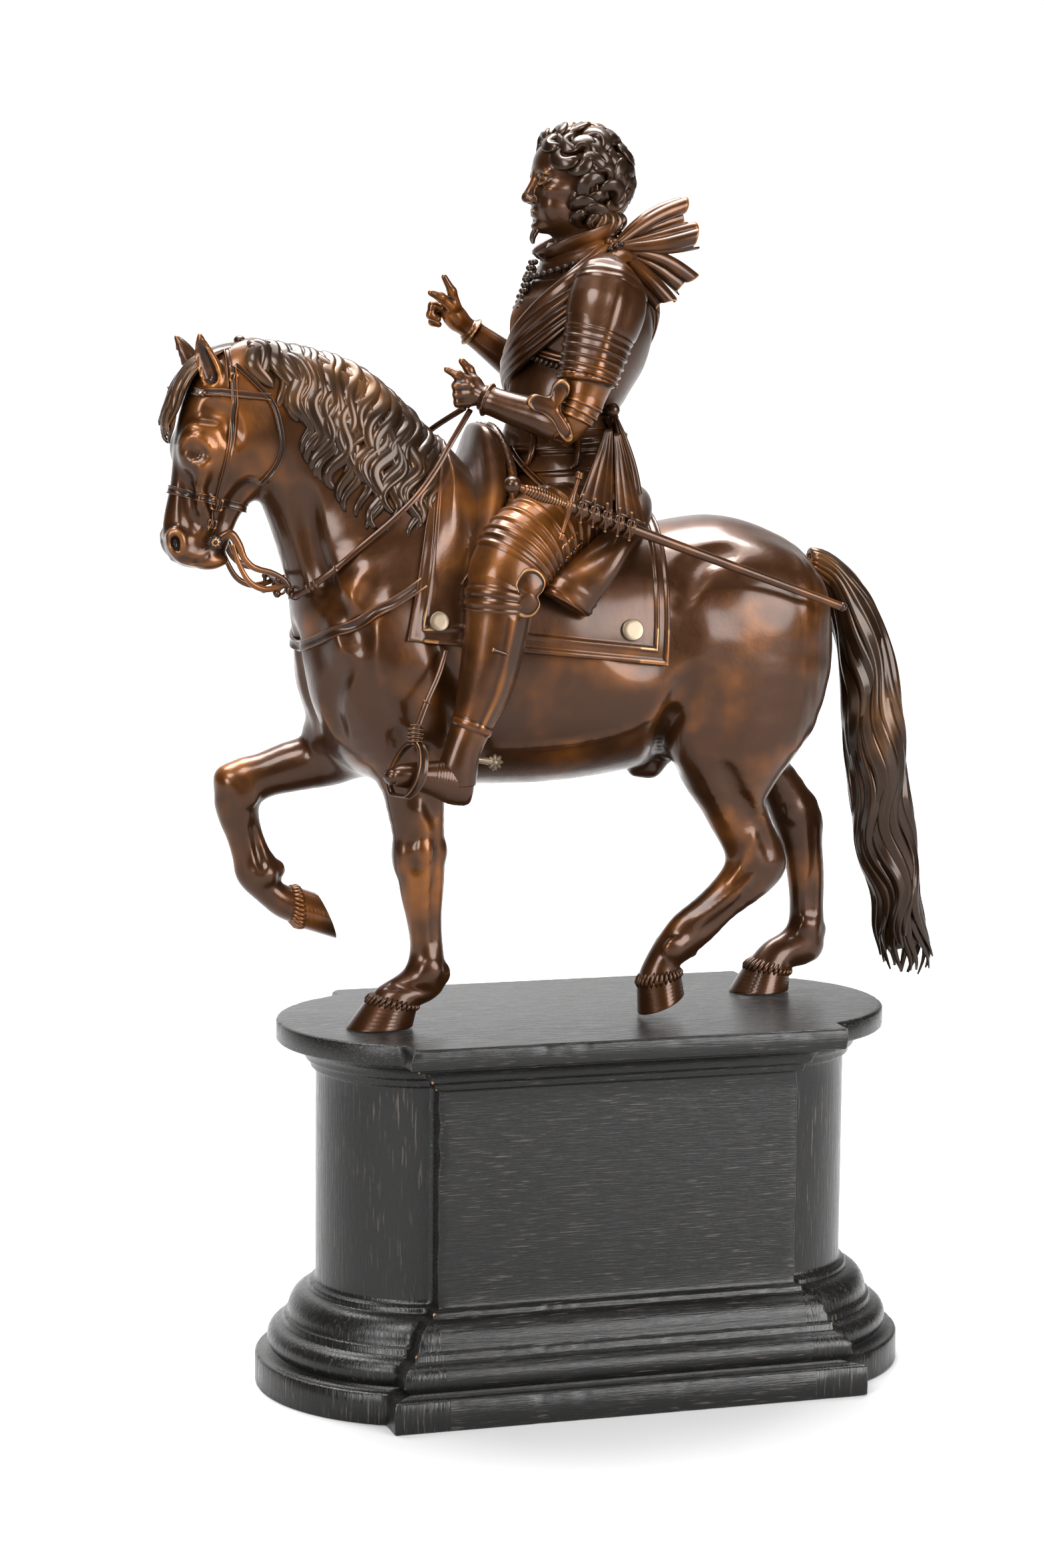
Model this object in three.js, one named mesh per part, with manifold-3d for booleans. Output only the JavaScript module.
// An equestrian statuette: an armoured rider on a walking horse, cast in bronze in several pieces,
// on a tall plinth of ebonised wood. Millimetres, +Z up. The origin is the centre of the plinth's
// underside; the horse faces -X, its tail is at +X, and its left side faces -Y.
import * as THREE from "three";
import { mergeVertices } from "three/addons/utils/BufferGeometryUtils.js";
import Module from "manifold-3d";

const wasm = await Module();
wasm.setup();

// Plinth: a block that stands forward of two round ends, under one moulding.
const PLINTH_HEIGHT = 88.1;
const BLOCK_HALF_LENGTH = 44.3;
const BLOCK_HALF_DEPTH = 29.6;
const END_RADIUS = 25.1;
const END_CENTRE = 40.5;
const END_SPREAD = 1.05;
const END_STEPS = 8;
const BASE_PROJECTION = 13.8;
const BASE_SLAB = 7.4;
const TORUS_TOP = 15;
const BASE_MOULDING_TOP = 25;
const CAP_PROJECTION = 9;
const CAP_SLAB = 5;
const CAP_MOULDING = 11.6;

// Figure: everything on the plinth is measured at this height, from the hooves to the top of the hair.
const FIGURE_HEIGHT = 209.6;
const MEASURED_HEIGHT = 209.6;
const U = FIGURE_HEIGHT / MEASURED_HEIGHT;

// Fits and thin work.
const GAP = 0.3;
const CLOTH_THICKNESS = 1.3;
const CLOTH_BORDER = 0.6;
const REIN_WIDTH = 1.8;
const REIN_THICKNESS = 0.8;
const LEATHER_WIDTH = 1.7;
const LEATHER_THICKNESS = 0.8;
const SHANK_RADIUS = 0.85;
const BLADE_RADIUS = 0.95;
const LAME_STEP = 0.35;
const SLIVER = 1.8;
const STILL = 0.87;

const Y_AXIS = new THREE.Vector3(0, 1, 0);
const Z_AXIS = new THREE.Vector3(0, 0, 1);
const point = (x, y, z) => new THREE.Vector3(x, y, z);

// Lists of like numbers, blended so that a limb bends smoothly through every given station.
function refine(stations, steps) {
  const last = stations.length - 1;
  const blend = (a, b, c, d, t) =>
    b + 0.5 * t * (c - a + t * (2 * a - 5 * b + 4 * c - d + t * (3 * (b - c) + d - a)));
  const rows = [];
  for (let i = 0; i < last; i += 1) {
    const [a, b, c, d] = [Math.max(i - 1, 0), i, i + 1, Math.min(i + 2, last)].map((k) => stations[k]);
    for (let s = 0; s < steps; s += 1) {
      rows.push(b.map((_, k) => blend(a[k], b[k], c[k], d[k], s / steps)));
    }
  }
  return [...rows, stations[last]];
}

// One row of such a list at any place along it, place 0 being the first station.
function stationAt(stations, place) {
  const low = Math.min(Math.max(Math.floor(place), 0), stations.length - 2);
  const share = place - low;
  return stations[low].map((value, k) => value + (stations[low + 1][k] - value) * share);
}

// A closed solid from shared points and faces, turned so that its faces point out.
function solidFrom(points, faces) {
  let volume = 0;
  for (const [a, b, c] of faces) {
    volume += points[a].dot(point().crossVectors(points[b], points[c]));
  }
  const turned = volume < 0 ? faces.map(([a, b, c]) => [a, c, b]) : faces;
  const vertProperties = new Float32Array(points.flatMap((p) => [p.x, p.y, p.z]));
  const triVerts = new Uint32Array(turned.flat());
  return new wasm.Manifold(new wasm.Mesh({ numProp: 3, vertProperties, triVerts }));
}

// A skin over rings of equal count, closed by a fan at each end, or joined into a hoop.
function skin(rings, hoop = false) {
  const count = rings[0].length;
  const points = rings.flat();
  const faces = [];
  const joins = hoop ? rings.length : rings.length - 1;
  for (let r = 0; r < joins; r += 1) {
    for (let k = 0; k < count; k += 1) {
      const a = r * count + k;
      const b = r * count + ((k + 1) % count);
      const c = ((r + 1) % rings.length) * count + k;
      const d = ((r + 1) % rings.length) * count + ((k + 1) % count);
      faces.push([a, c, b], [b, c, d]);
    }
  }
  if (!hoop) {
    for (const [start, way] of [[0, 1], [(rings.length - 1) * count, -1]]) {
      const centre = points.length;
      const ring = points.slice(start, start + count);
      points.push(ring.reduce((sum, p) => sum.add(p), point(0, 0, 0)).divideScalar(count));
      for (let k = 0; k < count; k += 1) {
        const pair = [start + k, start + ((k + 1) % count)];
        faces.push(way > 0 ? [centre, pair[0], pair[1]] : [centre, pair[1], pair[0]]);
      }
    }
  }
  return solidFrom(points, faces);
}

// A three.js geometry as a solid.
function solidOf(geometry, matrix = new THREE.Matrix4()) {
  const plain = geometry.clone().applyMatrix4(matrix);
  plain.deleteAttribute("normal");
  plain.deleteAttribute("uv");
  const merged = mergeVertices(plain, 1e-4);
  const spots = merged.getAttribute("position");
  const points = Array.from({ length: spots.count }, (_, i) => point().fromBufferAttribute(spots, i));
  const order = Array.from(merged.index.array);
  const faces = [];
  for (let i = 0; i < order.length; i += 3) {
    const face = order.slice(i, i + 3);
    if (new Set(face).size === 3) faces.push(face);
  }
  return solidFrom(points, faces);
}

function ball(x, y, z, radius, detail = 0) {
  const place = new THREE.Matrix4().makeTranslation(x * U, y * U, z * U);
  return solidOf(new THREE.IcosahedronGeometry(radius * U, detail), place);
}

const join = (solids) => solids.reduce((all, next) => all.add(next));

// A casting is one body: pockets sealed between its carvings are filled, and offcuts go.
function casting(solid) {
  return solid.decompose().reduce((most, body) => (body.volume() > most.volume() ? body : most));
}

// Joins leave slivers. An edge shorter than the limit is drawn into one of its ends where the
// surface stays closed and no facet round it turns by more than a little.
function smoothed(solid, limit = SLIVER) {
  const { vertProperties, triVerts } = casting(solid).getMesh();
  const spots = Array.from({ length: vertProperties.length / 3 }, (_, i) =>
    point().fromArray(vertProperties, 3 * i));
  const faces = Array.from({ length: triVerts.length / 3 }, (_, i) =>
    [...triVerts.slice(3 * i, 3 * i + 3)]);
  const around = spots.map(() => new Set());
  faces.forEach((face, i) => face.forEach((spot) => around[spot].add(i)));
  const facing = (corners) => point().crossVectors(
    corners[1].clone().sub(corners[0]), corners[2].clone().sub(corners[0]));
  const ring = (spot) =>
    new Set([...around[spot]].flatMap((i) => faces[i]).filter((other) => other !== spot));
  const holds = (kept, gone) => [...around[gone]].every((i) => {
    if (faces[i].includes(kept)) return true;
    const before = facing(faces[i].map((k) => spots[k]));
    const after = facing(faces[i].map((k) => spots[k === gone ? kept : k]));
    return before.length() < 1e-4 || before.normalize().dot(after.normalize()) > STILL;
  });
  const edges = faces.flatMap(([a, b, c]) => [[a, b], [b, c], [c, a]]).filter(([a, b]) => a < b)
    .map(([a, b]) => [spots[a].distanceTo(spots[b]), a, b]).filter(([long]) => long < limit * U)
    .sort((one, two) => one[0] - two[0]);
  for (const [, a, b] of edges) {
    const shared = [...around[a]].filter((i) => around[b].has(i));
    const beside = ring(b);
    const common = [...ring(a)].filter((spot) => beside.has(spot));
    if (shared.length !== 2 || common.length !== 2) continue;
    const pair = [[a, b], [b, a]].find(([kept, gone]) => holds(kept, gone));
    if (!pair) continue;
    const [kept, gone] = pair;
    for (const i of [...around[gone]]) {
      if (shared.includes(i)) {
        faces[i].forEach((spot) => around[spot].delete(i));
        faces[i] = [];
      } else {
        faces[i] = faces[i].map((spot) => (spot === gone ? kept : spot));
        around[kept].add(i);
      }
    }
    around[gone].clear();
  }
  const used = spots.map((_, i) => i).filter((i) => around[i].size);
  const order = new Map(used.map((i, k) => [i, k]));
  const left = faces.filter((face) => face.length).map((face) => face.map((i) => order.get(i)));
  return solidFrom(used.map((i) => spots[i]), left);
}

// An ellipse, or a squarer oval, as cosine and sine shares round one section.
function oval(sides, square = 1) {
  return Array.from({ length: sides }, (_, k) => {
    const angle = (2 * Math.PI * (k + 0.5)) / sides;
    const soften = (value) => Math.sign(value) * Math.abs(value) ** square;
    return [soften(Math.cos(angle)), soften(Math.sin(angle))];
  });
}

// A limb seen from the side. Each slice gives its front point, its back point (x, z each), the
// place across (y) and the half width across. grow swells it, for a neighbour's clearance.
function sliceRing([ax, az, bx, bz, y, wide], sides, grow, square) {
  const middle = point((ax + bx) / 2, y, (az + bz) / 2).multiplyScalar(U);
  const reach = point((ax - bx) / 2, 0, (az - bz) / 2).multiplyScalar(U);
  const deep = reach.length() + grow;
  reach.normalize();
  return oval(sides, square).map(([c, s]) =>
    middle.clone().addScaledVector(reach, c * deep).addScaledVector(Y_AXIS, s * (wide * U + grow)));
}

function limb(slices, { sides = 8, steps = 1, grow = 0, square = 1 } = {}) {
  return skin(refine(slices, steps).map((slice) => sliceRing(slice, sides, grow, square)));
}

// A tube along stations x, y, z, deep, wide. Deep lies along the normal, wide across it, and a
// pleat ruffles every second point of the section inwards, as folded cloth is.
const inPlane = (spot, way) => point().crossVectors(Y_AXIS, way);

function tube(stations, options = {}) {
  const { sides = 8, steps = 1, normal = inPlane, pleat = 0, square = 1, hoop = false } = options;
  const rows = refine(stations, steps).map((row) => row.map((value) => value * U));
  const spots = rows.map(([x, y, z]) => point(x, y, z));
  const rings = rows.map(([, , , deep, wide], i) => {
    const before = spots[hoop ? (i - 1 + spots.length) % spots.length : Math.max(i - 1, 0)];
    const after = spots[hoop ? (i + 1) % spots.length : Math.min(i + 1, spots.length - 1)];
    const way = after.clone().sub(before).normalize();
    const up = normal(spots[i], way).clone();
    up.addScaledVector(way, -up.dot(way)).normalize();
    const side = point().crossVectors(way, up);
    return oval(sides, square).map(([c, s], k) => {
      const fold = k % 2 ? 1 - pleat : 1;
      return spots[i].clone().addScaledVector(up, c * deep * fold).addScaledVector(side, s * wide * fold);
    });
  });
  return skin(rings, hoop);
}

// Mirror image for the far side, which the horse's middle plane parts from the near one.
const mirrored = (stations) => stations.map(([x, y, ...rest]) => [x, -y, ...rest]);

// The horse: slices read as front x, front z, back x, back z, y, half width.
const BARREL = [
  // x, top, bottom, half width
  [-70.9, 91, 83, 5], [-69, 96.4, 74.4, 12.4], [-63.6, 104, 63.4, 19], [-55, 112, 58, 22.5],
  [-43, 119, 55.8, 24], [-30, 120.5, 55.6, 25], [-13, 118.5, 55.5, 26.5], [3, 116.5, 57.2, 27],
  [17, 116.5, 60.7, 26.5], [30, 118.4, 62, 26], [43.5, 115, 64, 24], [54, 110.3, 69, 19.5],
  [60.5, 101.5, 79, 11], [62.3, 95, 87, 4],
];
const NECK = [
  [-26, 119, -70, 88, 0, 20], [-37.6, 131.3, -73.4, 100, 0, 16.5], [-43.5, 140.5, -74.4, 107, 0, 14],
  [-50.5, 147.7, -76.1, 116.4, 0, 12.2], [-58.5, 153, -77.4, 121.1, 0, 11],
  [-68.4, 156.5, -78.6, 125, 0, 9.8], [-77.3, 157.6, -78.5, 129, 0, 8.4],
  [-85.6, 157.2, -79, 137, 0, 6.2],
];
const HEAD = [
  [-87.6, 157.3, -78.5, 151.5, 0, 5], [-94.6, 152, -75.8, 143.5, 0, 7.4],
  [-97.8, 144.6, -73.7, 137.6, 0, 8.6], [-99.3, 137, -74.1, 132.8, 0, 8.6],
  [-99.9, 130.7, -76.9, 128.1, 0, 7.6], [-100.5, 125.4, -81, 124.3, 0, 6],
  [-101.4, 120.5, -84.4, 119.8, 0, 5.3], [-102, 116, -86.2, 115.2, 0, 5.3],
  [-101.3, 111.3, -87.2, 111.2, 0, 4.9], [-98.4, 107.6, -90.8, 107.9, 0, 3],
];
const NEAR_FORELEG = [
  [-60, 84, -33, 84, -12, 9.5], [-56.4, 71.3, -35.8, 70.8, -12, 8.5],
  [-54, 60.3, -38, 59.9, -11.5, 6.6], [-52.1, 51.7, -38.5, 51.2, -11.2, 5.4],
  [-50.3, 44.2, -38.4, 43.4, -11, 4.8], [-49.3, 36.7, -38.3, 36.3, -11, 4.7],
  [-48.5, 31.2, -38.6, 30.8, -11, 3.9], [-47.2, 25.6, -38.9, 25.3, -11, 3.2],
  [-46.2, 19.2, -38.6, 18.9, -11, 3.1], [-46.9, 14.2, -38, 13.2, -11, 3.7],
  [-48.9, 11.3, -38.5, 8.8, -11, 4.1], [-52.9, 9.4, -43.7, 6, -11, 3.6],
  [-56, 7.2, -44.3, 4.2, -10.8, 5.2], [-61.6, 0.5, -45.6, 0.5, -10.6, 6.6],
  [-61.8, 0, -45.4, 0, -10.6, 6.7],
];
const FAR_FORELEG = [
  [-64.7, 72.2, -50, 59.1, 10, 9], [-65.7, 66.6, -57.1, 55.5, 11, 6.5],
  [-71.4, 64.6, -67.7, 53.3, 12, 5.2], [-77.8, 62, -73.7, 52.3, 12.5, 4.8],
  [-84.1, 60, -77.2, 50.3, 13, 4.8], [-87.1, 54.4, -77.8, 48.1, 13, 4.6],
  [-86.5, 48.7, -77.2, 44.9, 13, 4], [-84.7, 42.9, -75.7, 40.9, 13, 3.2],
  [-83.3, 37.5, -74, 37.8, 13, 3.3], [-82.2, 32.3, -72, 35.2, 13, 4], [-77.7, 27.4, -73, 32.9, 13, 3.5],
  [-72, 23.1, -71.2, 31, 13, 3.6], [-67.6, 20.7, -67.5, 30.8, 13, 5], [-58.5, 17.4, -62.7, 29, 13, 6.2],
];
const NEAR_HIND_LEG = [
  [25, 97, 49, 100, -9, 7], [15.5, 86, 57, 87.5, -11, 13], [15.5, 71.2, 54.5, 72, -12.5, 12.5],
  [18.6, 60.5, 46, 60.9, -12.8, 10], [24.3, 52.3, 40.6, 52.1, -12.5, 7.5],
  [27.5, 46.1, 42, 46.4, -12.3, 6], [31.1, 39.5, 45.4, 39.8, -12, 4.8],
  [31.6, 35.4, 46.9, 34.9, -12, 4.6], [28.8, 30.7, 43.2, 30.8, -12, 4.4],
  [23.9, 26.5, 34.8, 24.5, -12, 3.8], [18.6, 23, 28.5, 18.1, -11.8, 3.6],
  [14.8, 17.8, 23.6, 14.7, -11.6, 3.9], [12.4, 13.4, 19.9, 12.4, -11.5, 3.7],
  [9.9, 7.5, 20.3, 9, -11.4, 5], [9.8, 0.6, 20.8, 4.6, -11.4, 6], [10, 0, 12, 0, -11.4, 4.6],
];
const FAR_HIND_LEG = [
  [29, 98, 50, 101, 9, 7], [25, 87, 57.5, 89, 10, 12.6], [34.5, 74.6, 59.4, 77.6, 11.4, 12],
  [41.7, 62.9, 57.6, 63.6, 12, 9.5], [45.6, 56.2, 55.8, 55.9, 12, 6.8],
  [49.4, 50.3, 60.9, 49.1, 12, 5.2], [52.2, 43.6, 65.5, 42.6, 12, 4.6], [55, 36.8, 65.6, 36.4, 12, 4.2],
  [56.9, 28.9, 66.3, 28, 12, 3.7], [57.8, 21.7, 66.3, 20.5, 12, 3.4],
  [57.3, 15.5, 66.4, 14.3, 11.8, 3.6], [54.1, 12.3, 65.8, 8.4, 11.6, 3.9],
  [50, 10.5, 58.7, 6.8, 11.4, 3.7], [45.8, 7.6, 57.2, 3.9, 11, 5], [41.6, 0.5, 56.6, 0.5, 10.6, 6.4],
  [41.4, 0, 56.8, 0, 10.6, 6.5],
];
const TAIL = [
  [56.6, 110.6, 56.2, 103.8, 0, 2.6], [60, 109.8, 58.8, 101, 0, 3.6], [63.6, 107.5, 60.7, 98.8, 0, 4.5],
  [69.7, 102.1, 62.6, 92.3, 0, 6], [73.8, 95.8, 64.1, 85.8, 0, 7], [78.5, 83, 65, 76.8, 0, 7.8],
  [81.5, 69.4, 66.3, 66.9, 0, 8.2], [82.9, 56.6, 67.2, 56.3, 0, 8.4], [84.2, 47.5, 68, 46.4, 0, 8.4],
  [86.3, 35, 70.5, 34.7, 0, 8.2], [87.8, 24.9, 74.1, 25.1, 0, 7.6], [90, 15.6, 74.9, 15.4, 0, 7],
  [91.1, 8.9, 76.8, 8.6, 0, 6], [88.5, 2, 81, 1.6, 0, 3.6],
];

const BARREL_SQUARE = 0.94;
const barrelSlices = BARREL.map(([x, top, bottom, wide]) => [x, top, x, bottom, 0, wide]);

function horseBody(grow = 0) {
  return join([
    limb(barrelSlices, { sides: 14, grow, square: BARREL_SQUARE }),
    limb(NECK, { sides: 10, grow }),
    limb(HEAD, { sides: 10, grow, square: 0.9 }),
  ]);
}

// The ears are long pointed cups, turned a little outwards.
function ears() {
  const near = [
    [-91, -4, 149, 3, 2.2], [-93, -4.6, 153, 3, 2.2], [-94.2, -4.8, 157, 1.8, 1.3],
    [-94.8, -5, 160.6, 0.3, 0.3],
  ];
  const far = [
    [-93, 4.5, 150, 3, 2.2], [-95, 4.8, 154, 2.8, 2], [-96.6, 5, 157.4, 1.7, 1.2],
    [-98.4, 5, 160, 0.3, 0.3],
  ];
  return [near, far].map((stations) => tube(stations, { sides: 6 }));
}

// A point on the neck's skin: place along its slices, and turn down from the crest.
function neckPoint(place, turn, side, lift) {
  const [ax, az, bx, bz, , wide] = stationAt(NECK, place);
  const deep = Math.hypot(ax - bx, az - bz) / 2;
  const reach = [(ax - bx) / 2 / deep, (az - bz) / 2 / deep];
  const out = Math.cos(turn) * (deep + lift);
  const y = side * Math.sin(turn) * (wide + lift);
  return [(ax + bx) / 2 + reach[0] * out, y, (az + bz) / 2 + reach[1] * out];
}

const NEAR_LOCKS = 10;
const FAR_LOCKS = 5;
const LOCK_WIDTH = 2.9;

// One wavy lock of the mane: it leaves the crest and falls back and down in S bends.
function maneLock(root, fall, length, side, wave) {
  const bends = 6;
  const stations = Array.from({ length: bends }, (_, i) => {
    const along = i / (bends - 1);
    const sway = 0.16 * Math.sin(wave + 2.4 * Math.PI * along) * Math.min(along * 3, 1);
    const place = Math.max(root - fall * along + sway, 0.15);
    const spot = neckPoint(place, 0.12 + length * along, side, 0.5);
    const thick = LOCK_WIDTH * (1 - 0.75 * along ** 3);
    return [...spot, thick * 0.6, thick];
  });
  const inward = (spot) => point(0, -spot.y, -0.3 * Math.abs(spot.y) - 0.5);
  return tube(stations, { sides: 3, normal: inward });
}

function mane() {
  const row = (count, side, reach) => Array.from({ length: count }, (_, i) => {
    const root = 0.9 + (6.1 * i) / (count - 1);
    const share = Math.sin((Math.PI * (i + 1.6)) / (count + 2.4));
    return maneLock(root, 0.55 + 2.3 * share, 0.75 + reach * share, side, i * 1.9);
  });
  return [...row(NEAR_LOCKS, -1, 0.95), ...row(FAR_LOCKS, 1, 0.7)];
}

function forelock() {
  return [-2, 2].map((y) => tube([
    [-88, y * 0.6, 157.5, 1.4, 1.6], [-95.5, y, 154.2, 1.6, 1.8], [-99.8, y * 1.3, 147.5, 1.7, 1.8],
    [-101.2, y * 1.2, 140.5, 1.5, 1.5], [-99.9, y * 0.9, 135.2, 0.5, 0.5],
  ], { sides: 4 }));
}

// The noseband rings the head, and the breast strap runs from the saddlecloth round the chest.
function noseband() {
  const slices = [5, 5.45].map((place) => stationAt(HEAD, place));
  return limb(slices, { sides: 12, grow: 0.45, square: 0.9 });
}

// The saddlecloth is a sheet over the back. Its front and back edges are given from the top down.
const CLOTH_TOP = [
  [-48, 120], [-43, 127], [-37.5, 136], [-31, 129], [-22, 122.5], [-10, 120], [3, 119.4], [14, 119],
];
const CLOTH_FRONT_TOP = -37.5;
const CLOTH_FRONT_LOW = -51;
const CLOTH_BACK_TOP = 13.5;
const CLOTH_BACK_LOW = 10.6;
const CLOTH_FRONT_HEM = 91.4;
const CLOTH_BACK_HEM = 85.2;

function along(table, x) {
  const next = Math.max(table.findIndex((row) => row[0] > x), 1);
  const place = x >= table[table.length - 1][0] ? table.length - 1 : next - 1
    + (x - table[next - 1][0]) / (table[next][0] - table[next - 1][0]);
  return stationAt(table, Math.max(place, 0));
}

function clothPoint(u, a, lift, spill) {
  const down = Math.abs(a);
  const front = THREE.MathUtils.lerp(CLOTH_FRONT_TOP, CLOTH_FRONT_LOW, down ** 0.8);
  const back = THREE.MathUtils.lerp(CLOTH_BACK_TOP, CLOTH_BACK_LOW, down);
  const x = THREE.MathUtils.lerp(front - spill, back + spill, u);
  const [, , bottom, wide] = along(BARREL, x);
  const top = along(CLOTH_TOP, x)[1];
  const middle = (along(BARREL, x)[1] + bottom) / 2;
  const hem = THREE.MathUtils.lerp(CLOTH_FRONT_HEM, CLOTH_BACK_HEM, u) - 2 * spill;
  const last = Math.acos((hem - middle) / (top - middle));
  const turn = Math.sign(a) * last * down;
  const spread = (wide + lift) * Math.abs(Math.sin(turn)) ** BARREL_SQUARE * Math.sign(turn);
  return point(x, spread, middle + (top + lift - middle) * Math.cos(turn)).multiplyScalar(U);
}

function saddlecloth(spill = 0) {
  const columns = [0, 0.04, 0.28, 0.52, 0.76, 0.96, 1];
  const rows = [-1, -0.94, -0.7, -0.42, -0.17, 0, 0.17, 0.42, 0.7, 0.94, 1];
  const border = (u, a) => (u === 0.04 || u === 0.96 || Math.abs(a) === 0.94 ? CLOTH_BORDER : 0);
  const rings = columns.map((u) => [
    ...rows.map((a) => clothPoint(u, a, CLOTH_THICKNESS + border(u, a) + spill, spill)),
    ...rows.slice().reverse().map((a) => clothPoint(u, a, -1.6, spill)),
  ]);
  return skin(rings);
}

function clothStuds() {
  return [[-44, -24, 96.1, 2], [1.8, -28, 93.6, 2.7]].flatMap(([x, y, z, radius]) =>
    [-1, 1].map((side) => {
      const turn = new THREE.Matrix4().makeRotationX(side * 0.12);
      const place = new THREE.Matrix4().makeTranslation(x * U, -side * y * U, z * U).multiply(turn);
      return solidOf(new THREE.CylinderGeometry(radius * U, radius * U, 3 * U, 9), place);
    }));
}

// The saddle: a tall front plate that shields the rider's lap, and a roll behind the thighs.
const FRONT_PLATE = [
  [-38.8, 106, -29.5, 106, 0, 27], [-37.6, 113, -27.5, 114.5, 0, 25], [-34.5, 121, -23.8, 124, 0, 20.5],
  [-32, 130, -22.8, 132, 0, 14.5], [-29.6, 139, -22.9, 136.2, 0, 9], [-28.2, 140, -24.5, 138.4, 0, 5],
];
const BACK_ROLL = [
  [-14.6, -29.2, 100.4, 6.1, 3.2], [-10.5, -28.6, 106, 6.1, 3.4], [-4, -26, 112, 6, 3.6],
  [3, -20, 117, 5, 3.6], [8.5, -10, 121.5, 3.6, 3.4], [10, 0, 123, 3.2, 3.2],
];

function saddle(grow = 0) {
  const swollen = BACK_ROLL.map(([x, y, z, deep, wide]) => [x, y, z, deep + grow, wide + grow]);
  const outward = (spot) => point(0.7, 0, 0.4);
  return [
    limb(FRONT_PLATE, { sides: 12, grow, square: 0.8 }),
    tube(swollen, { sides: 8, normal: outward }),
    tube(mirrored(swollen), { sides: 8, normal: outward }),
  ];
}

function horse() {
  return smoothed(join([
    horseBody(),
    limb(NEAR_FORELEG), limb(FAR_FORELEG), limb(NEAR_HIND_LEG), limb(FAR_HIND_LEG),
    tube([[21, 0, 63, 3, 4], [17, 0, 59, 2.2, 2.6], [13.5, 0, 57.8, 1, 1.2]], { sides: 6 }),
    ...ears(), ...mane(), ...forelock(), noseband(), saddlecloth(), ...clothStuds(), ...saddle(),
  ]));
}

const TAIL_STRANDS = 5;
const STRAND_REACH = 0.7;

// The tail is a bundle of wavy strands round a core, cast apart and let into the dock.
function tail() {
  const strands = Array.from({ length: TAIL_STRANDS }, (_, i) => {
    const angle = (Math.PI * 2 * (i + 0.5)) / TAIL_STRANDS;
    const stations = TAIL.slice(1).map(([ax, az, bx, bz, , wide], k) => {
      const sway = angle + 0.35 * Math.sin(k * 1.05 + i * 2.1);
      const out = Math.cos(sway) * STRAND_REACH;
      const thick = 1.2 + wide * 0.24;
      const [x, z] = [(ax + bx) / 2 + ((ax - bx) / 2) * out, (az + bz) / 2 + ((az - bz) / 2) * out];
      return [x, Math.sin(sway) * wide * STRAND_REACH, z, thick, thick];
    });
    return tube(stations, { sides: 3 });
  });
  const haunches = [NEAR_HIND_LEG, FAR_HIND_LEG].map((slices) => limb(slices, { grow: GAP }));
  const rump = join([horseBody(GAP), ...haunches]);
  const body = join([limb(TAIL), ...strands]);
  return smoothed(body).subtract(rump);
}

// The rider's trunk: x, y, z, deep, wide, from the lap up. Doubled stations step as lames do.
const TRUNK = [
  [-5, 0, 113, 11, 13], [-5, 0, 119, 14.6, 15], [-5.4, 0, 124.6, 15.4, 15.6],
  [-5.6, 0, 124.9, 16.1, 16.2], [-6.2, 0, 132.4, 14.9, 15.2], [-6.3, 0, 132.7, 15.5, 15.7],
  [-7, 0, 143.5, 12.3, 12.6], [-7, 0, 145.5, 12.6, 12.8], [-4.7, 0, 151.4, 14, 14.6],
  [-3.2, 0, 157, 16.2, 16.8], [-2.2, 0, 163.5, 16.8, 17.6], [-2, 0, 169.5, 15.2, 17.4],
  [-2.4, 0, 174.5, 11.6, 13.6], [-3, 0, 178.5, 9, 9.4], [-3, 0, 182, 7.4, 7.6],
];
const NECK_AND_HEAD = [
  [-4, 0, 178, 6, 6], [-4.4, 0, 183, 6.2, 6], [-6.6, 0, 184.6, 6.6, 5.4], [-6.2, 0, 187.6, 8.6, 6.8],
  [-5.2, 0, 191.5, 9.6, 7.9], [-4.4, 0, 196, 10.4, 8.7], [-4, 0, 200.5, 10.9, 9],
  [-3.8, 0, 204.4, 9.9, 8.3], [-3.6, 0, 207.2, 7, 6], [-3.4, 0, 208.4, 3, 2.6],
];

function face() {
  const nose = [
    [-14.6, 0, 199.4, 0.7, 0.9], [-15.6, 0, 195.8, 1.2, 1.2], [-16.2, 0, 192.9, 1.5, 1.8],
    [-14.6, 0, 191.7, 1.1, 1.6],
  ];
  const lips = [[-13.2, -2, 189.4, 0.8, 0.8], [-14.8, 0, 189.5, 0.9, 0.9], [-13.2, 2, 189.4, 0.8, 0.8]];
  const up = () => Z_AXIS;
  return [tube(nose, { sides: 5 }), tube(lips, { sides: 4, normal: up }), ball(-12.8, 0, 186.8, 2.3),
    tube([[-13.6, 0, 186, 1.2, 1.4], [-14.2, 0, 182.6, 0.7, 0.8]], { sides: 5 })];
}

// Short hair: rows of C shaped curls over the crown, the back and the sides of the head.
const SKULL_CENTRE = [-3.4, 0, 199.6];
const CURL_REACH = 11.2;
const CURL_SIZE = 3;

function curl(bearing, height, reach, size, hand) {
  const level = Math.cos(height);
  const crown = point(...SKULL_CENTRE);
  const out = point(Math.cos(bearing) * level, 0.84 * Math.sin(bearing) * level, 0.82 * Math.sin(height));
  const centre = crown.addScaledVector(out, reach);
  out.normalize();
  const side = point().crossVectors(Z_AXIS, out).normalize();
  const up = point().crossVectors(out, side);
  const stations = [-2.1, -0.9, 0.5, 1.9].map((angle, i) => {
    const spot = centre.clone().addScaledVector(side, hand * size * Math.cos(angle));
    spot.addScaledVector(up, size * Math.sin(angle));
    const thick = size * [0.35, 0.62, 0.6, 0.3][i];
    return [spot.x, spot.y, spot.z, thick, thick];
  });
  return tube(stations, { sides: 3, normal: () => out.clone().negate() });
}

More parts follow.
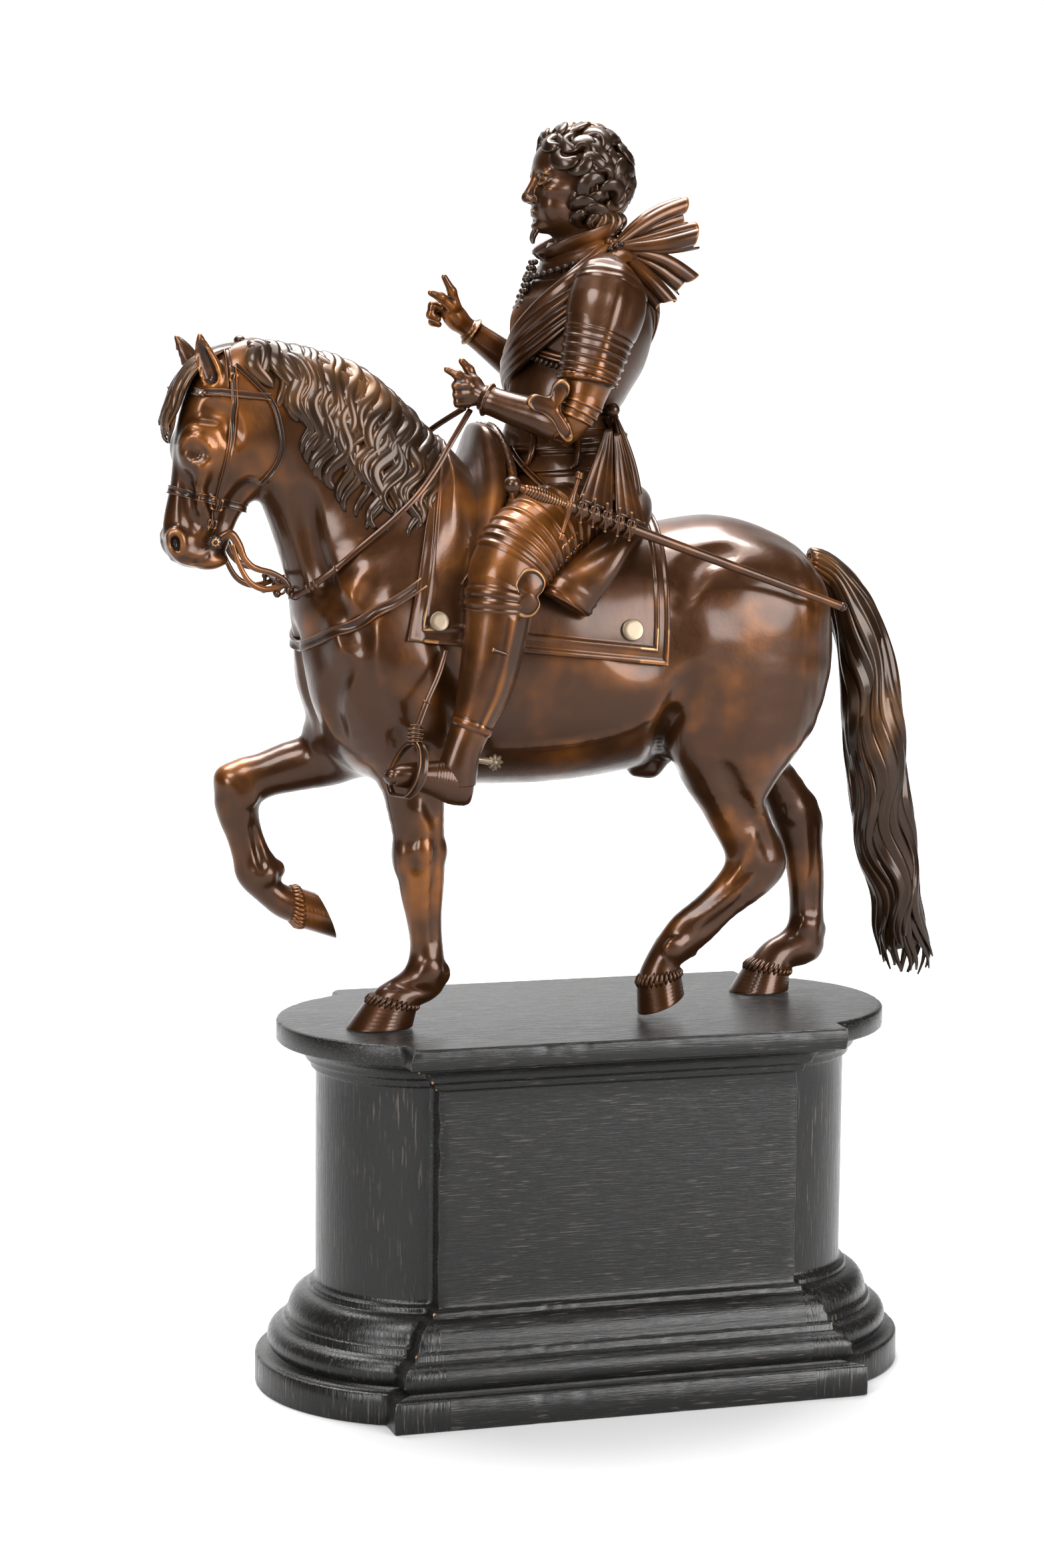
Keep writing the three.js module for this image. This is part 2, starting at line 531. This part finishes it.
function hair() {
  const rows = [[-0.5, 4, 0.5], [0.1, 6, 0.58], [0.75, 5, 0.72]];
  const curls = rows.flatMap(([height, count, open], r) => Array.from({ length: count }, (_, i) => {
    const spread = Math.PI * open * (i / (count - 1) - 0.5) * 2;
    return curl(spread, height, CURL_REACH, CURL_SIZE, (i + r) % 2 ? 1 : -1);
  }));
  const cap = tube([[-2, 0, 188, 7.4, 7.8], [-1.8, 0, 193, 9.6, 9.4], [-2.4, 0, 199, 10.9, 9.9],
    [-3.2, 0, 204.6, 10.5, 9.2], [-3.6, 0, 208, 6.4, 5.6]], { sides: 10 });
  const nape = tube([
    [4.5, -5.5, 190, 1.8, 1.8], [2.2, -7.2, 186.5, 1.6, 1.6], [0.8, -7.6, 183.4, 0.7, 0.7],
  ], { sides: 5 });
  return [cap, nape, ...curls];
}

function collar() {
  const tilted = (height, deep, wide) => [-3.2 - 0.2 * (height - 180), 0, height, deep, wide];
  const round = { sides: 12, normal: () => point(1, 0, 0.2) };
  return [
    tube([tilted(178.4, 9.2, 9.2), tilted(180.4, 10.4, 9.6), tilted(184.2, 8.6, 8.2)], round),
    tube([[-2.6, 0, 175, 13, 13], [-3, 0, 177.4, 11.4, 11.4], [-3.2, 0, 180, 9.6, 9.6]], round),
  ];
}

// The arms. Five lames close the shoulder above a roped border; the elbow has a pointed wing.
function lames(start, end, count) {
  return Array.from({ length: count }, (_, i) => {
    const near = start.map((value, k) => value + ((end[k] - value) * i) / count);
    const next = start.map((value, k) => value + ((end[k] - value) * (i + 0.94)) / count);
    const flare = next.map((value, k) => (k > 2 ? value + LAME_STEP : value));
    return [near, flare];
  }).flat();
}

const NEAR_ARM = [
  [0.2, -14.5, 172.6, 5.5, 5], [-0.9, -17.6, 172, 8.4, 5.8], [-2.4, -19.4, 168, 9.3, 6.4],
  [-4, -20.4, 163.6, 8.8, 6.6],
  ...lames([-5, -20.8, 160.6, 7.5, 6.2], [-7.6, -21.8, 151.6, 6.2, 5.6], 5),
  [-7.8, -21.9, 150.6, 6.9, 6.3], [-8, -22, 149.4, 5.4, 5], [-9.4, -22.2, 145, 4.9, 4.6],
  [-10.6, -22.2, 140.6, 4.8, 4.4], [-11.4, -22, 137, 2.4, 2.4],
];
const NEAR_FOREARM = [
  [-9.2, -22.2, 140, 4.6, 4.4], [-13.4, -21.4, 141.6, 5, 4.2], [-16.6, -20.2, 142.6, 4.2, 3.8],
  [-20.1, -18, 143.3, 3.7, 3.6], [-24, -15, 144.8, 3.2, 3.1], [-27, -12.6, 146.1, 2.9, 2.9],
  [-27.4, -12.2, 146.3, 3.5, 3.5], [-28.6, -11.4, 146.7, 3.4, 3.4], [-28.8, -11.2, 146.8, 2.2, 2.2],
];
const FAR_ARM = [
  [0.2, 14.5, 172.6, 5.5, 5], [-0.6, 17.6, 171.6, 8.4, 5.8], [-1.6, 19.4, 167.6, 8.8, 6.4],
  [-2.6, 20.4, 163.4, 8, 6.4],
  ...lames([-3.2, 20.8, 160.6, 7, 6], [-5, 22, 153, 5.8, 5.4], 3),
  [-5.2, 22.1, 152, 6.4, 6.1], [-5.3, 22.2, 151, 5, 4.8], [-6, 22.4, 148.4, 4.6, 4.4],
  [-5.4, 22.4, 145.4, 2.2, 2.2],
];
const FAR_FOREARM = [
  [-3.8, 22.4, 146.4, 3.4, 3.4], [-8.5, 22, 150.6, 4.2, 4], [-13.2, 21.5, 154.3, 3.9, 3.7],
  [-17.9, 21, 157.3, 3.3, 3.3], [-21.6, 21, 159.6, 2.8, 2.8], [-22, 21, 159.9, 3.4, 3.4],
  [-23.2, 21, 160.9, 3.3, 3.3], [-23.4, 21, 161, 2.2, 2.2],
];

function elbowWing(x, y, z, side) {
  const stations = [
    [x + 1, y + side * 1.2, z - 1, 1.2, 2.4], [x - 3, y + side * 1.4, z + 1.6, 1, 2.9],
    [x - 6, y + side, z + 5.6, 0.7, 3], [x - 7.6, y, z + 8.8, 0.4, 1.1],
  ];
  return tube(stations, { sides: 6, normal: () => Y_AXIS });
}

function finger(stations) {
  return tube(stations.map(([x, y, z, thick]) => [x, y, z, thick, thick]), { sides: 4 });
}

function nearHand() {
  return [
    tube([
      [-27.6, -12, 146.6, 2.1, 2], [-30.4, -10.4, 147, 2.5, 2.9], [-33, -9, 148.2, 2.5, 3],
      [-34.6, -8.4, 149.4, 1.6, 2.4],
    ], { sides: 7 }),
    finger([[-32.5, -10.6, 149.6, 1.2], [-35, -9.4, 151.6, 1], [-37, -8.6, 153.2, 0.55]]),
    finger([[-31.2, -8, 150.2, 1.1], [-33.6, -7.4, 152.6, 0.95], [-34.6, -7, 154.4, 0.5]]),
    ...[0, 1, 2].map((i) => finger([
      [-32.6 + i * 0.9, -7.2 - i * 1.9, 146.6, 1.1], [-31 + i * 0.9, -7.6 - i * 1.9, 144.9, 1],
      [-29.4 + i * 0.8, -8.4 - i * 1.6, 145.4, 0.8],
    ])),
  ];
}

function farHand() {
  return [
    tube([
      [-22.6, 21, 160.4, 2, 2], [-25, 21, 163.4, 2.2, 2.7], [-27.6, 21, 166.6, 2.2, 3],
      [-29.4, 21, 168.2, 1.6, 2.5],
    ], { sides: 7 }),
    finger([[-28.4, 19, 168, 1.1], [-31, 19, 169.6, 0.95], [-33.8, 19, 170.9, 0.6]]),
    finger([[-28.2, 18.6, 166.6, 1], [-28.8, 17.6, 170.6, 0.95], [-30.4, 17, 174.5, 0.6]]),
    finger([
      [-29, 21.2, 168, 1.1], [-31.6, 21.4, 168.4, 1], [-33.2, 21.4, 166.6, 0.9], [-32.2, 21.4, 164.8, 0.7],
    ]),
    finger([
      [-28.8, 23.2, 167.4, 1.1], [-31.2, 23.4, 167.4, 1], [-32.4, 23.4, 165.2, 0.9],
      [-31.2, 23.2, 163.8, 0.7],
    ]),
  ];
}

// The sash crosses the chest from the left shoulder, and a bow flies out behind its knot.
function trunkPoint(height, bearing, lift) {
  const index = TRUNK.findIndex((row) => row[2] > height);
  const low = TRUNK[index - 1];
  const place = index - 1 + (height - low[2]) / (TRUNK[index][2] - low[2]);
  const [x, , , deep, wide] = stationAt(TRUNK, place);
  return [x - (deep + lift) * Math.cos(bearing), -(wide + lift) * Math.sin(bearing), height];
}

function sash() {
  const outward = (spot) => point(spot.x + 4 * U, spot.y, 0);
  const band = (rows) => tube(rows.map(([height, bearing, lift, deep, wide]) =>
    [...trunkPoint(height, bearing, lift), deep, wide]), { sides: 6, normal: outward });
  return [
    band([
      [180.6, 2.3, 0.2, 1.4, 2.2], [178.4, 1.75, 0.6, 1.7, 3.4], [173.5, 1.25, 0.8, 1.9, 4.6],
      [166.5, 0.8, 0.8, 1.9, 5], [159, 0.3, 0.9, 1.8, 4.8], [152.5, -0.4, 0.7, 1.6, 4.2],
      [147, -1.1, 0.5, 1.4, 3.4],
    ]),
    band([
      [147, -1.1, 0.5, 1.4, 3.4], [150, -2, 0.6, 1.4, 3.4], [159, -2.7, 0.6, 1.5, 3.4],
      [169, -3.2, 0.6, 1.5, 3.2], [178, -3.7, 0.4, 1.3, 2.6],
    ]),
  ];
}

function bow() {
  const knot = [3, -8, 181];
  const lobe = (end, deep, wide) => tube([
    [...knot, 0.9, 0.9],
    [...knot.map((value, k) => value * 0.62 + end[k] * 0.38), deep * 0.5, wide * 0.55],
    [...knot.map((value, k) => value * 0.2 + end[k] * 0.8), deep * 0.92, wide * 0.9],
    [...end, deep, wide],
  ], { sides: 8, pleat: 0.34 });
  return [
    lobe([21.8, -4, 190.6], 3.8, 4.6), lobe([22.6, -10, 183.6], 3.1, 4.2),
    lobe([21.6, -4, 173.4], 3.3, 4), lobe([15.4, -10.5, 169.4], 3.6, 3.6),
    ball(knot[0], knot[1], knot[2], 2.1),
  ];
}

// The belt's knot on the left hip and the folds of cloth that hang from it.
function hipFolds() {
  return [
    ball(1.4, -12.6, 144.6, 1.9),
    tube([
      [2, -12.6, 144, 1.2, 1.4], [4, -14, 136, 1.9, 2.8], [5.4, -16, 127, 2.4, 4],
      [6, -18, 119.5, 2.2, 4.4],
    ], { pleat: 0.3 }),
    tube([
      [2.6, -10, 144, 1.2, 1.2], [6.2, -9, 134, 2.2, 2.6], [8.4, -9.6, 124, 2.6, 3.6],
      [8.8, -10, 118.5, 2.2, 3.6],
    ], { pleat: 0.3 }),
  ];
}

// A leg: lames over the thigh, the knee with its two-lobed wing, a tall boot and a plain foot.
const THIGH = [
  [-1, -9, 124, 10, 9], [-6.4, -14, 128, 11.2, 9.6],
  ...lames([-9.5, -17.2, 127.4, 10.8, 9.4], [-22.8, -25, 114.4, 9.6, 8], 4),
  [-24.8, -25.8, 112.2, 9.9, 8.4], [-27, -26.6, 109.4, 9.2, 7.9], [-30, -28, 103, 8.2, 7.3],
];
const SHIN = [
  [-29.6, -28, 105, 8.2, 7.3], [-30.8, -28.9, 99.4, 7.5, 6.8], [-30.9, -29, 98.4, 8, 7.3],
  [-31, -29.1, 96.6, 8, 7.3], [-31.1, -29.2, 95.8, 7.3, 6.7], [-32.9, -29.5, 86, 6.8, 6.3],
  [-34.4, -29.5, 80, 6.3, 5.6], [-37, -29.7, 73, 4.8, 4.3], [-39.4, -30, 67, 4.2, 3.8],
  [-40.4, -30, 62.5, 4.8, 3.8],
];
const FOOT = [
  [-36.4, -29.8, 60, 2.6, 2], [-38.2, -30, 60.2, 5, 3], [-42, -30.2, 61, 4.8, 3.3],
  [-46.4, -30.6, 61.8, 3.6, 3.3], [-51, -31, 61.8, 2.7, 3], [-54.6, -31.3, 62, 2.4, 2.6],
  [-56.6, -31.5, 62.2, 1.3, 1.4],
];

function kneeWing(side) {
  const disc = (x, z, radius) => tube([
    [x, side * 33.4, z, radius * 0.4, radius * 0.4], [x, side * 35.2, z, radius, radius],
    [x, side * 36, z, radius * 0.86, radius * 0.86],
  ], { sides: 8, normal: () => Z_AXIS });
  return [disc(-23.4, 105.4, 3.4), disc(-24.6, 100.4, 3)];
}

function spur(side) {
  const y = side * 30.2;
  return [
    tube([[-38.5, y, 64.8, 0.7, 0.7], [-31.8, y, 64.4, 0.7, 0.7]], { sides: 5 }),
    tube([[-31.8, y - 0.5, 64.4, 1.9, 1.9], [-31.8, y + 0.5, 64.4, 1.9, 1.9]],
      { pleat: 0.4, normal: () => Z_AXIS }),
  ];
}

function leg(side) {
  const place = (stations) => (side < 0 ? stations : mirrored(stations));
  return [
    tube(place(THIGH)), tube(place(SHIN)), tube(place(FOOT), { sides: 7 }),
    ...kneeWing(side), ...spur(side),
  ];
}

function rider() {
  const figure = join([
    tube(TRUNK, { sides: 12 }), tube(NECK_AND_HEAD, { sides: 10 }), ...face(), ...hair(), ...collar(),
    tube(NEAR_ARM), tube(NEAR_FOREARM), elbowWing(-11, -25.4, 139, -1), ...nearHand(),
    tube(FAR_ARM, { sides: 7 }), tube(FAR_FOREARM, { sides: 7 }), elbowWing(-6, 25.6, 146, 1), ...farHand(),
    ...sash(), ...bow(), ...hipFolds(), ...leg(-1), ...leg(1),
  ]);
  const seat = join([horseBody(GAP), saddlecloth(GAP), ...saddle(GAP)]);
  return smoothed(figure).subtract(seat);
}

// The sword hangs at the left hip: ball pommel, grip, crossguard and scabbard in a strapped hanger.
const POMMEL = [-29.4, -35.2, 127.2];
const SCABBARD_TIP = [55.6, -26.4, 97.6];
const SWORD_LENGTH = 90.5;

function onSword(distance, out = 0, down = 0) {
  const share = distance / SWORD_LENGTH;
  return [
    POMMEL[0] + (SCABBARD_TIP[0] - POMMEL[0]) * share,
    POMMEL[1] + (SCABBARD_TIP[1] - POMMEL[1]) * share + out,
    POMMEL[2] + (SCABBARD_TIP[2] - POMMEL[2]) * share + down,
  ];
}

const GUARD_AT = 15.2;
const HANGER_STRAPS = [17.5, 21, 24.5, 28, 31.5];
const HIP_KNOT = [1.5, -15.5, 143, 0.7, 0.7];

// The hanger's straps hold the scabbard; the second and the last go on up to the knot at the hip.
function hanger() {
  return HANGER_STRAPS.map((distance, i) => {
    const foot = [...onSword(distance, -0.1, -2.6), 1.1, 1.1];
    const head = [...onSword(distance + 0.6, 0.5, 4.2), 1.1, 1.1];
    const stations = i === 1 || i === 4 ? [foot, head, HIP_KNOT] : [foot, head];
    return tube(stations, { sides: 4, square: 0.6 });
  });
}

function sword() {
  const [x, y, z] = onSword(GUARD_AT);
  const hilt = tube([
    [...onSword(1), 0.7, 0.7], [...onSword(3), 0.9, 0.9], [...onSword(7), 1.5, 1.4], [...onSword(12), 1, 1],
    [...onSword(15), 1.2, 1.2],
  ], { sides: 6 });
  const scabbard = tube([
    [...onSword(14), 1.5, 1.4], [...onSword(30), 1.5, 1.3], [...onSword(33), 1.2, 1],
    [...onSword(88), BLADE_RADIUS, 0.8], [...onSword(SWORD_LENGTH), 0.9, 0.7],
  ], { sides: 6 });
  const cross = tube([
    [x + 2.2, y, z + 7.6, 0.9, 0.9], [x + 1.4, y, z + 5, 0.6, 0.6], [x, y, z, 1.2, 1.2],
    [x - 1.5, y, z - 5.4, 0.6, 0.6], [x - 2.3, y, z - 8, 0.9, 0.9],
  ], { sides: 6 });
  return smoothed(join([ball(...POMMEL, 1.85, 1), hilt, scabbard, cross, ...hanger()]));
}

// The reins run from the curb's rings, one each side of the neck, to the rider's left hand.
const NEAR_REIN = [
  [-72.6, -7.6, 101], [-69.4, -12.8, 104.6], [-63.4, -17.6, 110], [-54.8, -19.6, 117.6],
  [-47.6, -18.6, 123.4], [-41.8, -16, 130], [-37.4, -13, 136.6], [-32.2, -9.7, 143.5],
];
const FAR_REIN = [
  [-72.6, 7.6, 101], [-69.4, 12.8, 104.6], [-63.4, 17.6, 110], [-54.8, 19.6, 117.6],
  [-47.6, 18.4, 123.8], [-41.6, 14.6, 131.4], [-38, 6, 138], [-32.9, -6.9, 143.9],
];

function rein(points) {
  const rows = points.map((spot) => [...spot, REIN_WIDTH / 2, REIN_THICKNESS / 2]);
  return tube(rows, { sides: 4, square: 0.5 });
}

// The curb bit: a boss at each corner of the mouth and two long S shaped shanks joined by a bar.
const SHANK = [
  [-91, 113.8], [-88.2, 115.2], [-86.4, 112.8], [-84.8, 109.6], [-82.4, 107.6], [-78.6, 106.4],
  [-75.6, 104.6], [-74.2, 102.2],
];

const SHANK_PLACE = 6.9;

function curbSide(side) {
  const y = side * SHANK_PLACE;
  return [
    tube(SHANK.map(([x, z]) => [x, y, z, SHANK_RADIUS, SHANK_RADIUS * 0.8]), { sides: 5 }),
    tube([[4.6, 2], [7.2, 2], [8, 0.8]].map(([out, radius]) => [-91.8, side * out, 113.4, radius, radius]),
      { sides: 8, normal: () => Z_AXIS }),
    tube([[-77, y, 101.8, 0.6, 0.6], [-76.6, y, 105.2, 0.6, 0.6]], { sides: 5 }),
    ball(-77, y, 101.8, 0.9),
    ball(-74.3, y, 102.2, 1.15),
  ];
}

function curbBit() {
  const ends = [-SHANK_PLACE, SHANK_PLACE].map((y) => [-76.2, y, 105, 0.7, 0.7]);
  const bar = tube(ends, { sides: 6, normal: () => Z_AXIS });
  return smoothed(join([...curbSide(-1), ...curbSide(1), bar])).subtract(horseBody(GAP));
}

// A stirrup hangs by its leather; its broad iron is turned a little outwards round the foot.
const IRON_WIDE = 6;
const IRON_HIGH = 7.2;
const IRON_BAND = 2.6;
const IRON_THICKNESS = 1.1;
const IRON_TURN = Math.PI / 6;
const IRON_SECTIONS = 10;

function stirrup(side) {
  const centre = [-51.4, side * 30.9, 64.4];
  const iron = Array.from({ length: IRON_SECTIONS }, (_, i) => {
    const angle = (2 * Math.PI * i) / IRON_SECTIONS;
    const across = IRON_WIDE * Math.sin(angle) * (1 - 0.12 * Math.cos(angle));
    const rise = Math.max(IRON_HIGH * Math.cos(angle), -IRON_HIGH * 0.95);
    const x = centre[0] - across * Math.sin(IRON_TURN);
    const y = centre[1] - side * across * Math.cos(IRON_TURN);
    return [x, y, centre[2] + rise, IRON_THICKNESS / 2, IRON_BAND / 2];
  });
  const outward = (spot) => spot.clone().sub(point(...centre).multiplyScalar(U));
  const leather = [
    [-40.4, side * 24.9, 88.4], [-43, side * 27.4, 84], [-46.6, side * 29.4, 78.4],
    [-50.6, side * 30.6, 72.6],
  ];
  return join([
    tube(iron, { sides: 4, square: 0.5, hoop: true, normal: outward }),
    tube([[centre[0], centre[1], 70.8, 1.5, 1.5], [centre[0] + 0.6, centre[1], 74, 1.3, 1.3]],
      { sides: 4, square: 0.6 }),
    tube(leather.map((spot) => [...spot, LEATHER_WIDTH / 2, LEATHER_THICKNESS / 2]),
      { sides: 4, square: 0.5 }),
  ]);
}

// The plinth's outline at one projection from the die, once round.
function plinthOutline(projection, height) {
  const depth = BLOCK_HALF_DEPTH + projection;
  const length = BLOCK_HALF_LENGTH + projection;
  const radius = END_RADIUS + projection * END_SPREAD;
  const meet = Math.acos((length - END_CENTRE) / radius);
  const end = Array.from({ length: END_STEPS + 1 }, (_, i) => {
    const angle = -meet + (2 * meet * i) / END_STEPS;
    return [END_CENTRE + radius * Math.cos(angle), radius * Math.sin(angle)];
  });
  const half = [[length, -depth], ...end, [length, depth]];
  const other = half.map(([x, y]) => [-x, -y]);
  return [...half, ...other].map(([x, y]) => point(x, y, height));
}

function plinth() {
  const top = PLINTH_HEIGHT;
  const cap = top - CAP_SLAB;
  const die = top - CAP_MOULDING;
  const torus = (BASE_SLAB + TORUS_TOP) / 2;
  const profile = [
    [BASE_PROJECTION, 0], [BASE_PROJECTION, BASE_SLAB], [BASE_PROJECTION - 4, BASE_SLAB + 0.2],
    [BASE_PROJECTION - 3.2, BASE_SLAB + 1.4], [BASE_PROJECTION - 2.8, torus],
    [BASE_PROJECTION - 4, TORUS_TOP - 1], [BASE_PROJECTION - 6.4, TORUS_TOP],
    [BASE_PROJECTION - 6.4, TORUS_TOP + 1.4], [BASE_PROJECTION - 8.4, TORUS_TOP + 3],
    [1.6, BASE_MOULDING_TOP - 2.6], [0.4, BASE_MOULDING_TOP - 1], [0, BASE_MOULDING_TOP], [0, die],
    [1.2, die + 0.2], [1.2, die + 1.7], [2.4, die + 2.4], [4.4, die + 4.6], [6.4, cap - 0.8], [7, cap],
    [CAP_PROJECTION, cap + 0.1], [CAP_PROJECTION, top],
  ];
  return skin(profile.map(([projection, height]) => plinthOutline(projection, height)));
}

// Finishes, and the named meshes of the object.
const BRONZE = new THREE.MeshStandardMaterial({ color: 0x4a2c1a, roughness: 0.32, metalness: 0.9 });
const WORN_BRONZE = new THREE.MeshStandardMaterial({ color: 0x6b5740, roughness: 0.38, metalness: 0.9 });
const EBONISED = new THREE.MeshStandardMaterial({ color: 0x17130f, roughness: 0.45, metalness: 0 });

function meshOf(name, solid, material) {
  const { vertProperties, triVerts } = casting(solid).getMesh();
  const geometry = new THREE.BufferGeometry();
  geometry.setAttribute("position", new THREE.BufferAttribute(vertProperties, 3));
  geometry.setIndex(new THREE.BufferAttribute(triVerts, 1));
  geometry.computeVertexNormals();
  const mesh = new THREE.Mesh(geometry, material);
  mesh.name = name;
  return mesh;
}

const statuette = new THREE.Group();
const figure = new THREE.Group();
figure.position.z = PLINTH_HEIGHT + GAP;
figure.add(
  meshOf("horse", horse(), BRONZE),
  meshOf("tail", tail(), BRONZE),
  meshOf("rider", rider(), BRONZE),
  meshOf("sword", sword(), BRONZE),
  meshOf("rein_left", rein(NEAR_REIN), WORN_BRONZE),
  meshOf("rein_right", rein(FAR_REIN), WORN_BRONZE),
  meshOf("curb_bit", curbBit(), BRONZE),
  meshOf("stirrup_left", stirrup(-1), WORN_BRONZE),
  meshOf("stirrup_right", stirrup(1), WORN_BRONZE),
);
statuette.add(meshOf("plinth", plinth(), EBONISED), figure);

export default statuette;
